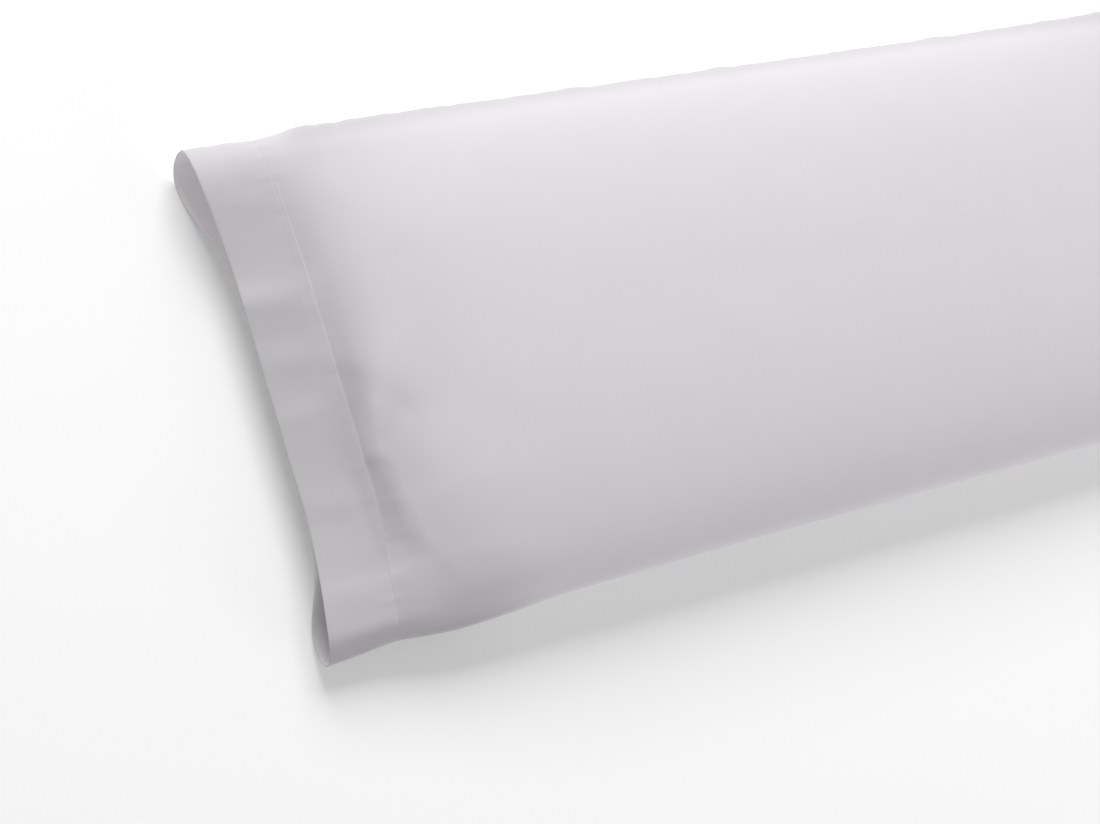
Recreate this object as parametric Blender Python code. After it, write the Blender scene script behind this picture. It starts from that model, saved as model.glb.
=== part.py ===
"""A long pillowcase filled by its pillow, lying on its back.

The case is one piece of cotton: folded along one long edge, sewn along the other and along the closed end,
with a deep hem turned at the open end. It is filled from its closed end to a hand's width short of the open
one, where the two walls run on as bare cloth and lie together, apart from a loop that stands open at each
corner of the mouth. Metres, +Z up. X runs along the case with the mouth at -X, and the sewn long edge is
at +Y. The origin is the middle of the surface that the case lies on.
"""

import math
from collections import namedtuple

import bmesh
import bpy

# Driving sizes, in metres.
RAISED_START = 0.040  # from the mouth to where the under wall's raised middle begins to fall
RAISED_END = 0.130  # and to where the under wall lies on the surface all across
HEM_WIDTH = 0.056  # from the mouth to the hem's row of stitches
WALL = 0.0020  # bare cloth at the mouth, which the turned hem makes double
STITCH_DEPTH = 0.0012  # how far the hem's stitches pull the cloth in
STITCH_SPREAD = 0.0035  # half the width of the furrow along those stitches
POCKET_MIDDLE = 0.050  # from the mouth to the end of the pillow inside, along the middle
POCKET_CORNER = 0.108  # and at the pillow's rounded corners

# How the case lies: a row for each place along it, measured from the mouth. sewn_y and sewn_z are the sewn
# long edge's distance from the middle line and its height, folded_y and folded_z those of the folded edge.
# crown is the height of the top along the middle, and mouth how much of the mouth's form is left there.
Station = namedtuple("Station", "along sewn_y sewn_z folded_y folded_z crown mouth")
STATIONS = (
    Station(0.000, 0.2055, 0.0290, 0.2050, 0.0200, 0.0290, 1.00),
    Station(0.030, 0.2040, 0.0340, 0.2030, 0.0255, 0.0365, 0.98),
    Station(0.056, 0.2020, 0.0390, 0.2010, 0.0310, 0.0450, 0.90),
    Station(0.080, 0.2045, 0.0425, 0.2035, 0.0350, 0.0570, 0.72),
    Station(0.110, 0.2060, 0.0450, 0.2055, 0.0390, 0.0725, 0.40),
    Station(0.150, 0.2060, 0.0470, 0.2045, 0.0425, 0.0870, 0.14),
    Station(0.200, 0.2055, 0.0475, 0.2020, 0.0455, 0.0970, 0.03),
    Station(0.270, 0.2050, 0.0480, 0.2010, 0.0470, 0.1040, 0.00),
    Station(0.400, 0.2045, 0.0480, 0.2005, 0.0475, 0.1090, 0.00),
    Station(0.600, 0.2040, 0.0480, 0.2010, 0.0475, 0.1110, 0.00),
    Station(0.800, 0.2045, 0.0475, 0.2020, 0.0470, 0.1085, 0.00),
    Station(0.920, 0.2065, 0.0455, 0.2045, 0.0450, 0.0985, 0.00),
    Station(1.000, 0.2090, 0.0425, 0.2075, 0.0420, 0.0830, 0.00),
    Station(1.050, 0.2110, 0.0395, 0.2100, 0.0390, 0.0625, 0.00),
    Station(1.080, 0.2130, 0.0370, 0.2130, 0.0365, 0.0460, 0.00),
    Station(1.092, 0.2140, 0.0360, 0.2140, 0.0355, 0.0385, 0.00),
)
LENGTH = STATIONS[-1].along

# The open mouth's loop at each long edge. side is the edge, peak the share of the half width where the top wall
# is highest and rise how far that is above the edge, sunk the share where the top wall is down at the middle's
# height. foot is the share where the under wall is lowest, at the height rest, and joined where it is up at the
# top wall.
Loop = namedtuple("Loop", "side peak rise sunk foot rest joined")
LOOPS = (
    Loop(+1, 0.87, 0.0145, 0.43, 0.88, 0.0000, 0.44),
    Loop(-1, 0.78, 0.0150, 0.46, 0.88, 0.0050, 0.62),
)
MOUTH_GAP = 0.0075  # from the top wall's outer face to the under wall's, in the middle of the mouth

# Broad folds in the top wall: where the middle of a fold is, which way it runs from +X, half its length and
# width, and its depth, below zero for a ridge.
Fold = namedtuple("Fold", "along across turn half_length half_width depth")
FOLDS = (
    Fold(0.092, -0.075, 93.0, 0.075, 0.014, 0.0045),
    Fold(0.150, -0.150, 28.0, 0.070, 0.016, 0.0035),
    Fold(0.120, 0.130, -38.0, 0.070, 0.018, 0.0030),
)

# Shape of a section across the case.
TOP_POWER = 2.3  # of the top's arch: 2 is an ellipse, more is fuller at the sides
ROUND_SEWN = 0.62  # how steeply the arch starts at the sewn edge: a half is upright
ROUND_FOLDED = 0.52  # and at the folded edge
FLAT_SHARE = 0.60  # of the half width, the part that lies flat underneath

# How far the walls are drawn in at the ends, along their middle, and over what length that fades out.
MOUTH_DRAW_TOP = 0.0145
MOUTH_DRAW_UNDER = 0.0170
MOUTH_DRAW_START = 0.42  # share of the half width up to which the mouth is drawn in fully
END_DRAW = 0.026
DRAW_REACH = 0.200
DRAW_FADE = 1.5
END_ROUND = 0.130  # length over which the underside leaves the surface at the closed end

# Counts of the mesh.
ACROSS = 34  # strips across each wall
HEM_ROWS = 7
SHOULDER_ROWS = 15
BODY_ROWS = 11
END_ROWS = 14
SHOULDER_END = 0.260  # where the rows become sparse
END_START = 0.860  # where they become close again

COTTON = (0.78, 0.77, 0.80, 1.0)
COTTON_ROUGHNESS = 0.85


def smooth_step(low, high, value):
    """0 below low, 1 above high, and a smooth rise between them."""
    share = min(1.0, max(0.0, (value - low) / (high - low)))
    return share * share * (3.0 - 2.0 * share)


def slope_at(index, column):
    """Slope of a column of STATIONS at one of its rows, level where the column turns."""
    before = STATIONS[max(index - 1, 0)]
    here = STATIONS[index]
    after = STATIONS[min(index + 1, len(STATIONS) - 1)]
    rise_before = getattr(here, column) - getattr(before, column)
    rise_after = getattr(after, column) - getattr(here, column)
    if rise_before * rise_after < 0.0:
        return 0.0
    return (rise_before + rise_after) / (after.along - before.along)


def read_stations(along, column):
    """A column of STATIONS at any place along the case, on a smooth curve through its rows."""
    index = 0
    while index < len(STATIONS) - 2 and along > STATIONS[index + 1].along:
        index += 1
    start, end = STATIONS[index], STATIONS[index + 1]
    span = end.along - start.along
    t = (along - start.along) / span
    from_value, to_value = getattr(start, column), getattr(end, column)
    from_slope, to_slope = slope_at(index, column) * span, slope_at(index + 1, column) * span
    return (
        (2 * t**3 - 3 * t**2 + 1) * from_value
        + (t**3 - 2 * t**2 + t) * from_slope
        + (-2 * t**3 + 3 * t**2) * to_value
        + (t**3 - t**2) * to_slope
    )


def edge_height(along, share):
    """Height that the long edges set at a share of the half width, from -1 to 1."""
    sewn, folded = read_stations(along, "sewn_z"), read_stations(along, "folded_z")
    return (sewn + folded) / 2.0 + share * (sewn - folded) / 2.0


def place_y(along, share, inset=0.0):
    """Y of a point at a share of the half width."""
    sewn = read_stations(along, "sewn_y") - inset
    folded = read_stations(along, "folded_y") - inset
    return (sewn - folded) / 2.0 + share * (sewn + folded) / 2.0


def loop_at(share):
    """The mouth's loop on the side of a share."""
    side = 1 if share >= 0 else -1
    return next(loop for loop in LOOPS if loop.side == side)


def quarter(share, start):
    """1 up to start, then a quarter of an ellipse down to 0 at a share of 1."""
    fall = max(0.0, share - start) / (1.0 - start)
    return math.sqrt(max(0.0, 1.0 - fall * fall))


def opened_top(share, edge, middle):
    """Height of the mouth's top wall."""
    loop, out = loop_at(share), abs(share)
    highest = edge + loop.rise * quarter(out, loop.peak)
    return middle + (highest - middle) * smooth_step(loop.sunk, loop.peak, out)


def opened_under(along, share, edge, middle):
    """Height of the mouth's under wall."""
    loop, out = loop_at(share), abs(share)
    raised = 1.0 - smooth_step(RAISED_START, RAISED_END, along)
    lowest = loop.rest * raised
    if out > loop.foot:
        return edge + (lowest - edge) * quarter(out, loop.foot)
    lift = raised * (1.0 - smooth_step(loop.joined, loop.foot, out))
    return lowest + (middle - MOUTH_GAP - lowest) * lift


def fold_depth(along, across):
    """How far the folds press the top wall in at a place."""
    depth = 0.0
    for fold in FOLDS:
        turn = math.radians(fold.turn)
        x, y = along - fold.along, across - fold.across
        lengthwise = (x * math.cos(turn) + y * math.sin(turn)) / fold.half_length
        crosswise = (y * math.cos(turn) - x * math.sin(turn)) / fold.half_width
        depth += fold.depth * math.exp(-lengthwise * lengthwise - crosswise * crosswise)
    return depth


def top_height(along, share):
    """Height of the top wall's outer face."""
    edge = edge_height(along, share)
    crown = read_stations(along, "crown")
    mouth = read_stations(along, "mouth")
    out = abs(share)
    steepness = (ROUND_SEWN + ROUND_FOLDED) / 2.0 + share * (ROUND_SEWN - ROUND_FOLDED) / 2.0
    arch = (1.0 - out**TOP_POWER) ** steepness
    filled = edge * (1.0 - arch) + crown * arch
    height = mouth * opened_top(share, edge, crown) + (1.0 - mouth) * filled
    furrow = ((along - HEM_WIDTH) / STITCH_SPREAD) ** 2
    inside = smooth_step(0.0, 0.2, 1.0 - out)
    pressed = STITCH_DEPTH * math.exp(-furrow) + fold_depth(along, place_y(along, share))
    return height - pressed * inside


def under_height(along, share):
    """Height of the under wall's outer face, which is zero where the case lies flat."""
    edge = edge_height(along, share)
    crown = read_stations(along, "crown")
    mouth = read_stations(along, "mouth")
    past = max(0.0, along - (LENGTH - END_ROUND)) / END_ROUND
    level = math.sqrt(max(0.0, 1.0 - past * past))
    filled = edge * (1.0 - quarter(abs(share), FLAT_SHARE) * level)
    return mouth * opened_under(along, share, edge, crown) + (1.0 - mouth) * filled


def place_x(along, share, is_top):
    """X of a point, with the walls drawn in at both ends of the case."""
    from_mouth = max(0.0, 1.0 - along / DRAW_REACH) ** DRAW_FADE
    from_end = max(0.0, 1.0 - (LENGTH - along) / DRAW_REACH) ** 2
    mouth_draw = MOUTH_DRAW_TOP if is_top else MOUTH_DRAW_UNDER
    mouth_drawn = mouth_draw * from_mouth * (1.0 - smooth_step(MOUTH_DRAW_START, 1.0, abs(share)))
    end_drawn = END_DRAW * from_end * (1.0 - share * share)
    return along + mouth_drawn - end_drawn - LENGTH / 2.0


def outer_point(along, share, is_top):
    """A point of the case's outer face."""
    height = top_height(along, share) if is_top else under_height(along, share)
    return (place_x(along, share, is_top), place_y(along, share), height)


def inner_point(depth, share, is_top):
    """A point of the pocket's face, one wall inside the outer one, at a depth from 0 at the mouth to 1."""
    along = depth * (POCKET_MIDDLE + (POCKET_CORNER - POCKET_MIDDLE) * share * share)
    height = top_height(along, share) - WALL if is_top else under_height(along, share) + WALL
    return (place_x(along, share, is_top), place_y(along, share, inset=WALL), height)


def ring(bm, point_at, along):
    """Vertices of one closed section: over the top from -Y to +Y, then back along the underside."""
    shares = [math.sin(math.pi * (i / ACROSS - 0.5)) for i in range(ACROSS + 1)]
    over = [point_at(along, share, True) for share in shares]
    back = [point_at(along, share, False) for share in reversed(shares[1:-1])]
    return [bm.verts.new(point) for point in over + back]


def bridge(bm, first, second):
    """Quads between two sections of as many points."""
    count = len(first)
    for i in range(count):
        j = (i + 1) % count
        bm.faces.new((first[i], first[j], second[j], second[i]))


def close_flat(bm, section, turned):
    """Strips that join a section's top to its underside, point by point."""
    for i in range(ACROSS):
        top_here, top_next = section[i], section[i + 1]
        under_here, under_next = section[-i % len(section)], section[-(i + 1) % len(section)]
        corners = [top_here, top_next, under_next, under_here]
        unique = list(dict.fromkeys(corners))
        bm.faces.new(unique[::-1] if turned else unique)


def rows_between(start, end, count):
    """Evenly spaced places from start up to, but not including, end."""
    return [start + (end - start) * i / count for i in range(count)]


def outer_rows():
    """Places of the outer face's sections, closest at the hem's stitches and at the ends."""
    return (
        rows_between(0.0, HEM_WIDTH - STITCH_SPREAD, HEM_ROWS - 1)
        + [HEM_WIDTH - STITCH_SPREAD, HEM_WIDTH, HEM_WIDTH + STITCH_SPREAD]
        + rows_between(HEM_WIDTH + 3 * STITCH_SPREAD, SHOULDER_END, SHOULDER_ROWS)
        + rows_between(SHOULDER_END, END_START, BODY_ROWS)
        + rows_between(END_START, LENGTH, END_ROWS)
        + [LENGTH]
    )


def build_case():
    """The filled case with its hollow mouth, as one closed mesh."""
    bm = bmesh.new()
    outer = [ring(bm, outer_point, along) for along in outer_rows()]
    for first, second in zip(outer, outer[1:]):
        bridge(bm, first, second)
    close_flat(bm, outer[-1], turned=False)
    inner = [ring(bm, inner_point, row / HEM_ROWS) for row in range(HEM_ROWS + 1)]
    for first, second in zip(inner, inner[1:]):
        bridge(bm, second, first)
    bridge(bm, inner[0], outer[0])
    close_flat(bm, inner[-1], turned=True)
    bmesh.ops.recalc_face_normals(bm, faces=bm.faces)
    mesh = bpy.data.meshes.new("pillowcase")
    bm.to_mesh(mesh)
    bm.free()
    return mesh


def cotton_material():
    """Plain white cotton with a faint cool cast."""
    material = bpy.data.materials.new("cotton")
    material.use_nodes = True
    shader = material.node_tree.nodes["Principled BSDF"]
    shader.inputs["Base Color"].default_value = COTTON
    shader.inputs["Roughness"].default_value = COTTON_ROUGHNESS
    shader.inputs["Metallic"].default_value = 0.0
    return material


def main():
    for old in list(bpy.data.objects):
        bpy.data.objects.remove(old)
    case = bpy.data.objects.new("pillowcase", build_case())
    case.data.materials.append(cotton_material())
    case.data.shade_smooth()
    bpy.context.scene.collection.objects.link(case)


main()
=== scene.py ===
"""A long white cotton pillowcase, filled by its pillow and lying on its back, with its hemmed mouth open.

Metres, +Z up. X runs along the case with the mouth at -X. The long edge at +Y is sewn, and the one at -Y
is folded.
"""

import logging
import math
from dataclasses import dataclass
from enum import Enum

import bmesh
import bpy
import numpy as np
from mathutils import Euler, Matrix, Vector


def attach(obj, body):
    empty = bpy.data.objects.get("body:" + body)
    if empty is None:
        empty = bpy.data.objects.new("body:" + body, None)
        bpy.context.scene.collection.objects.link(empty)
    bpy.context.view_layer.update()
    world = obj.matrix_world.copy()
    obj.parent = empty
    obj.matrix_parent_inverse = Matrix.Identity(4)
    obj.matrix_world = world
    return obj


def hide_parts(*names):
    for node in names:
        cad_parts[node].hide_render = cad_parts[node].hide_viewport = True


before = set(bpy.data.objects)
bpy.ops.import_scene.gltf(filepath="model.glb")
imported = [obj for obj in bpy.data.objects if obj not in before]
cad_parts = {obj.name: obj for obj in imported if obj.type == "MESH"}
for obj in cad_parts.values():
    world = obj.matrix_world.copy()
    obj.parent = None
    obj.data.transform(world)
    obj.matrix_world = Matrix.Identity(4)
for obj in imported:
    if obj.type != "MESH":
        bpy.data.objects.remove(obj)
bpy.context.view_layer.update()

log = logging.getLogger("pillowcase")

WEAVE_UV = "weave"
# painted shade: the attribute that tells how white the cloth is painted, from 0, darkest, to 1
PAINTED_SHADE_ATTRIBUTE = "painted_shade"
LIT_THROUGH = "lit_through"
STEP_AHEAD = 0.001  # how far along the case a second point is read for a face's direction
CLOSE_TURN = 82.0  # degrees of the round that closes a tube before its last flat strip
FAR = 1e9
TINY = 1e-12
SLUBS_ACROSS = 900.0  # changes of the threads' thickness per metre, from thread to thread
SLUBS_ALONG = 45.0  # and along each thread
UNDER_DIP = 0.4  # how far a thread sinks towards a crossing, as a share of its height
CRUMPLE_STRETCH = 0.55  # the crumple's rate across the case, as a share of its rate along it
CRUMPLE_FINER = 3.0  # times finer than the clouds
WAVE_RATE = 20.0  # radians that a Wave Texture turns through in one unit at a scale of 1

# The Mix node's sockets by their order: its factor, its two numbers, its two colours and its mixed colour.
MIX_FACTOR = 0
MIX_NUMBERS = (2, 3)
MIX_COLOURS = (6, 7)
MIXED_COLOUR = 2


class Wall(Enum):
    """One of the two walls of the case."""

    TOP = "top"
    UNDER = "under"


class Edge(Enum):
    """One of the two long edges."""

    SEWN = "sewn"
    FOLDED = "folded"


@dataclass(frozen=True)
class Station:
    """How the case lies at one place along it."""

    along: float
    sewn_y: float
    sewn_z: float
    folded_y: float
    folded_z: float
    crown: float
    mouth: float


@dataclass(frozen=True)
class Loop:
    """The open mouth's loop at one long edge, in shares of the half width and heights."""

    edge: Edge
    peak: float
    rise: float
    sunk: float
    foot: float
    rest: float
    joined: float


@dataclass(frozen=True)
class Fold:
    """A soft straight trough in the top wall, or a ridge where its depth is below zero."""

    along: float
    across: float
    turn: float
    half_length: float
    half_width: float
    depth: float


@dataclass(frozen=True)
class Crease:
    """A trough through three places that widens on its way, or a ridge where its depth is below zero."""

    start: tuple[float, float]
    middle: tuple[float, float]
    end: tuple[float, float]
    start_width: float
    end_width: float
    depth: float


@dataclass(frozen=True)
class Pucker:
    """A small gather of the cloth at the sewn long edge."""

    along: float
    half_length: float
    reach: float
    height: float


STATIONS = (
    Station(0.000, 0.2055, 0.0290, 0.2050, 0.0200, 0.0290, 1.00),
    Station(0.030, 0.2040, 0.0340, 0.2030, 0.0255, 0.0365, 0.98),
    Station(0.056, 0.2020, 0.0390, 0.2010, 0.0310, 0.0450, 0.90),
    Station(0.080, 0.2045, 0.0425, 0.2035, 0.0350, 0.0570, 0.72),
    Station(0.110, 0.2060, 0.0450, 0.2055, 0.0390, 0.0725, 0.40),
    Station(0.150, 0.2060, 0.0470, 0.2045, 0.0425, 0.0870, 0.14),
    Station(0.200, 0.2055, 0.0475, 0.2020, 0.0455, 0.0970, 0.03),
    Station(0.270, 0.2050, 0.0480, 0.2010, 0.0470, 0.1040, 0.00),
    Station(0.400, 0.2045, 0.0480, 0.2005, 0.0475, 0.1090, 0.00),
    Station(0.600, 0.2040, 0.0480, 0.2010, 0.0475, 0.1110, 0.00),
    Station(0.800, 0.2045, 0.0475, 0.2020, 0.0470, 0.1085, 0.00),
    Station(0.920, 0.2065, 0.0455, 0.2045, 0.0450, 0.0985, 0.00),
    Station(1.000, 0.2090, 0.0425, 0.2075, 0.0420, 0.0830, 0.00),
    Station(1.050, 0.2110, 0.0395, 0.2100, 0.0390, 0.0625, 0.00),
    Station(1.080, 0.2130, 0.0370, 0.2130, 0.0365, 0.0460, 0.00),
    Station(1.092, 0.2140, 0.0360, 0.2140, 0.0355, 0.0385, 0.00),
)

LOOPS = (
    Loop(Edge.SEWN, 0.87, 0.0145, 0.43, 0.88, 0.0000, 0.44),
    Loop(Edge.FOLDED, 0.84, 0.0150, 0.46, 0.88, 0.0050, 0.62),
)

# Soft bumps and dips of the shoulder behind the hem and at the folded edge, then the waves across the hem.
FOLDS = (
    Fold(0.100, 0.004, 80.0, 0.024, 0.016, -0.0011),
    Fold(0.094, -0.062, 80.0, 0.022, 0.012, -0.0008),
    Fold(0.068, -0.156, 80.0, 0.012, 0.008, -0.0007),
    Fold(0.105, 0.110, -60.0, 0.050, 0.024, 0.0012),
    Fold(0.108, -0.190, 0.0, 0.045, 0.018, 0.0012),
    Fold(0.200, -0.190, 0.0, 0.060, 0.028, 0.0012),
    Fold(0.036, 0.152, -10.0, 0.020, 0.010, -0.0007),
    Fold(0.024, 0.076, -12.0, 0.030, 0.011, -0.0012),
    Fold(0.018, 0.046, -8.0, 0.022, 0.011, 0.0004),
    Fold(0.036, 0.026, -6.0, 0.026, 0.013, -0.0014),
    Fold(0.034, -0.017, 8.0, 0.028, 0.009, -0.0009),
    Fold(0.044, -0.030, -4.0, 0.022, 0.018, -0.0009),
    Fold(0.038, -0.090, -10.0, 0.030, 0.011, -0.0009),
    Fold(0.033, -0.160, -8.0, 0.032, 0.013, -0.0009),
    Fold(0.040, -0.189, 0.0, 0.050, 0.009, -0.0017),
)

CREASES = (
    Crease((0.070, 0.006), (0.084, -0.012), (0.102, -0.034), 0.008, 0.010, 0.0006),
    Crease((0.094, -0.136), (0.104, -0.154), (0.118, -0.175), 0.006, 0.007, -0.0003),
)


@dataclass(frozen=True)
class Tuck:
    """How far the cloth right behind the stitches drops below the hem, and over what width it climbs back."""

    across: float
    depth: float
    width: float


# The long hollow lies between -0.142 and -0.060, and a smaller one up to 0.020.
TUCKS = (
    Tuck(-0.205, 0.0000, 0.012),
    Tuck(-0.152, 0.0003, 0.016),
    Tuck(-0.142, 0.0014, 0.030),
    Tuck(-0.128, 0.0037, 0.032),
    Tuck(-0.100, 0.0042, 0.025),
    Tuck(-0.072, 0.0042, 0.021),
    Tuck(-0.060, 0.0030, 0.013),
    Tuck(-0.030, 0.0034, 0.017),
    Tuck(0.002, 0.0024, 0.021),
    Tuck(0.014, 0.0014, 0.016),
    Tuck(0.030, 0.0012, 0.020),
    Tuck(0.100, 0.0011, 0.020),
    Tuck(0.150, 0.0006, 0.018),
    Tuck(0.180, 0.0001, 0.014),
    Tuck(0.205, 0.0000, 0.012),
)

# The gathers that show on the outline of the sewn edge, then those of the part that doesn't show.
PUCKERS = (
    Pucker(0.098, 0.010, 0.030, 0.0016),
    Pucker(0.128, 0.008, 0.020, -0.0008),
    Pucker(0.205, 0.014, 0.022, 0.0007),
    Pucker(0.352, 0.011, 0.024, 0.0012),
    Pucker(0.376, 0.009, 0.020, -0.0007),
    Pucker(0.506, 0.012, 0.022, 0.0011),
    Pucker(0.655, 0.014, 0.020, 0.0006),
    Pucker(0.760, 0.010, 0.024, 0.0012),
    Pucker(0.790, 0.009, 0.020, -0.0007),
    Pucker(0.905, 0.012, 0.026, 0.0010),
    Pucker(0.985, 0.010, 0.026, 0.0012),
)


def smooth_step(low: float, high: float, value: np.ndarray) -> np.ndarray:
    """0 below low, 1 above high, and a smooth rise between them."""
    share = np.clip((value - low) / (high - low), 0.0, 1.0)
    return share * share * (3.0 - 2.0 * share)


def quarter(share: np.ndarray, start: np.ndarray) -> np.ndarray:
    """1 up to start, then a quarter of an ellipse down to 0 at a share of 1."""
    fall = np.maximum(0.0, share - start) / (1.0 - start)
    return np.sqrt(np.maximum(0.0, 1.0 - fall * fall))


def read_stations(along: np.ndarray, column: str) -> np.ndarray:
    """A column of STATIONS at any places along the case, on a smooth curve through its rows.

    Args:
        along: distances from the mouth.
        column: the field's name.

    Returns:
        One value for each distance.
    """
    places = np.array([row.along for row in STATIONS])
    values = np.array([getattr(row, column) for row in STATIONS])
    count = len(places)
    before, after = np.maximum(np.arange(count) - 1, 0), np.minimum(np.arange(count) + 1, count - 1)
    slopes = (values[after] - values[before]) / (places[after] - places[before])
    slopes[(values - values[before]) * (values[after] - values) < 0.0] = 0.0
    index = np.clip(np.searchsorted(places, along, side="left") - 1, 0, count - 2)
    span = places[index + 1] - places[index]
    t = (along - places[index]) / span
    return (
        (2 * t**3 - 3 * t**2 + 1) * values[index]
        + (t**3 - 2 * t**2 + t) * slopes[index] * span
        + (-2 * t**3 + 3 * t**2) * values[index + 1]
        + (t**3 - t**2) * slopes[index + 1] * span
    )


@dataclass(frozen=True)
class WaveSum:
    """Uneven soft waves along one line, made of a few plain ones.

    Fields:
        lengths: wavelengths in metres.
        phases: where each wave starts, in turns.
    """

    lengths: tuple[float, ...]
    phases: tuple[float, ...]

    def at(self, place: np.ndarray) -> np.ndarray:
        """Adds up the waves.

        Args:
            place: places along the line.

        Returns:
            The sum at each place, from about -1 to 1.
        """
        total = np.zeros_like(place)
        for length, phase in zip(self.lengths, self.phases):
            total += np.sin(2.0 * math.pi * (place / length + phase))
        return total / len(self.lengths)


@dataclass
class CaseForm:
    """The outer face of the filled case as a surface over its length and its two walls."""

    hem_width: float = 0.056
    mouth_gap: float = 0.0045
    raised_start: float = 0.040
    raised_end: float = 0.130
    top_power: float = 2.3
    round_sewn: float = 0.62
    round_folded: float = 0.52
    flat_share: float = 0.60
    draw_top: float = 0.0145
    draw_under: float = 0.0170
    draw_start: float = 0.42
    end_draw: float = 0.026
    draw_reach: float = 0.200
    draw_fade: float = 1.5
    end_round: float = 0.130

    @property
    def length(self) -> float:
        """Length of the filled case from the mouth to the closed end."""
        return STATIONS[-1].along

    def loop_values(self, share: np.ndarray, field: str) -> np.ndarray:
        """A field of the mouth's loop on the side of each share."""
        values = {loop.edge: getattr(loop, field) for loop in LOOPS}
        return np.where(share >= 0.0, values[Edge.SEWN], values[Edge.FOLDED])

    def edge_height(self, along: np.ndarray, share: np.ndarray) -> np.ndarray:
        """Height that the two long edges set at each share."""
        sewn, folded = read_stations(along, "sewn_z"), read_stations(along, "folded_z")
        return (sewn + folded) / 2.0 + share * (sewn - folded) / 2.0

    def place_y(self, along: np.ndarray, share: np.ndarray) -> np.ndarray:
        """Y of each share of the half width."""
        sewn, folded = read_stations(along, "sewn_y"), read_stations(along, "folded_y")
        return (sewn - folded) / 2.0 + share * (sewn + folded) / 2.0

    def place_x(self, along: np.ndarray, share: np.ndarray, wall: Wall) -> np.ndarray:
        """X with the walls drawn in at both ends of the case.

        Args:
            along: distances from the mouth.
            share: shares of the half width, as many.
            wall: which wall.

        Returns:
            One X for each distance.
        """
        from_mouth = np.maximum(0.0, 1.0 - along / self.draw_reach) ** self.draw_fade
        from_end = np.maximum(0.0, 1.0 - (self.length - along) / self.draw_reach) ** 2
        draw = self.draw_top if wall is Wall.TOP else self.draw_under
        drawn = draw * from_mouth * (1.0 - smooth_step(self.draw_start, 1.0, np.abs(share)))
        return along + drawn - self.end_draw * from_end * (1.0 - share * share) - self.length / 2.0

    def top_height(self, along: np.ndarray, share: np.ndarray) -> np.ndarray:
        """Height of the top wall before its folds.

        Args:
            along: distances from the mouth.
            share: shares of the half width, as many.

        Returns:
            One height for each distance.
        """
        edge, out = self.edge_height(along, share), np.abs(share)
        crown, mouth = read_stations(along, "crown"), read_stations(along, "mouth")
        steep_middle = (self.round_sewn + self.round_folded) / 2.0
        steep = steep_middle + share * (self.round_sewn - self.round_folded) / 2.0
        arch = np.maximum(0.0, 1.0 - out**self.top_power) ** steep
        filled = edge * (1.0 - arch) + crown * arch
        peak, sunk = self.loop_values(share, "peak"), self.loop_values(share, "sunk")
        highest = edge + self.loop_values(share, "rise") * quarter(out, peak)
        climb = np.clip((out - sunk) / (peak - sunk), 0.0, 1.0)
        opened = crown + (highest - crown) * climb * climb * (3.0 - 2.0 * climb)
        return mouth * opened + (1.0 - mouth) * filled

    def under_height(self, along: np.ndarray, share: np.ndarray) -> np.ndarray:
        """Height of the under wall.

        Args:
            along: distances from the mouth.
            share: shares of the half width, as many.

        Returns:
            One height for each distance, zero where the case lies flat.
        """
        edge, out = self.edge_height(along, share), np.abs(share)
        crown, mouth = read_stations(along, "crown"), read_stations(along, "mouth")
        past = np.maximum(0.0, along - (self.length - self.end_round)) / self.end_round
        level = np.sqrt(np.maximum(0.0, 1.0 - past * past))
        filled = edge * (1.0 - quarter(out, np.full_like(out, self.flat_share)) * level)
        raised = 1.0 - smooth_step(self.raised_start, self.raised_end, along)
        foot, joined = self.loop_values(share, "foot"), self.loop_values(share, "joined")
        lowest = self.loop_values(share, "rest") * raised
        climb = np.clip((out - joined) / (foot - joined), 0.0, 1.0)
        lift = raised * (1.0 - climb * climb * (3.0 - 2.0 * climb))
        inner = lowest + (crown - self.mouth_gap - lowest) * lift
        nose = edge + (lowest - edge) * quarter(out, foot)
        return mouth * np.where(out > foot, nose, inner) + (1.0 - mouth) * filled

    def points(self, along: np.ndarray, share: np.ndarray, wall: Wall) -> np.ndarray:
        """Points of the outer face.

        Args:
            along: distances from the mouth.
            share: shares of the half width, as many.
            wall: which wall.

        Returns:
            An array with x, y and z last.
        """
        height = self.top_height(along, share) if wall is Wall.TOP else self.under_height(along, share)
        return np.stack([self.place_x(along, share, wall), self.place_y(along, share), height], axis=-1)


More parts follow.
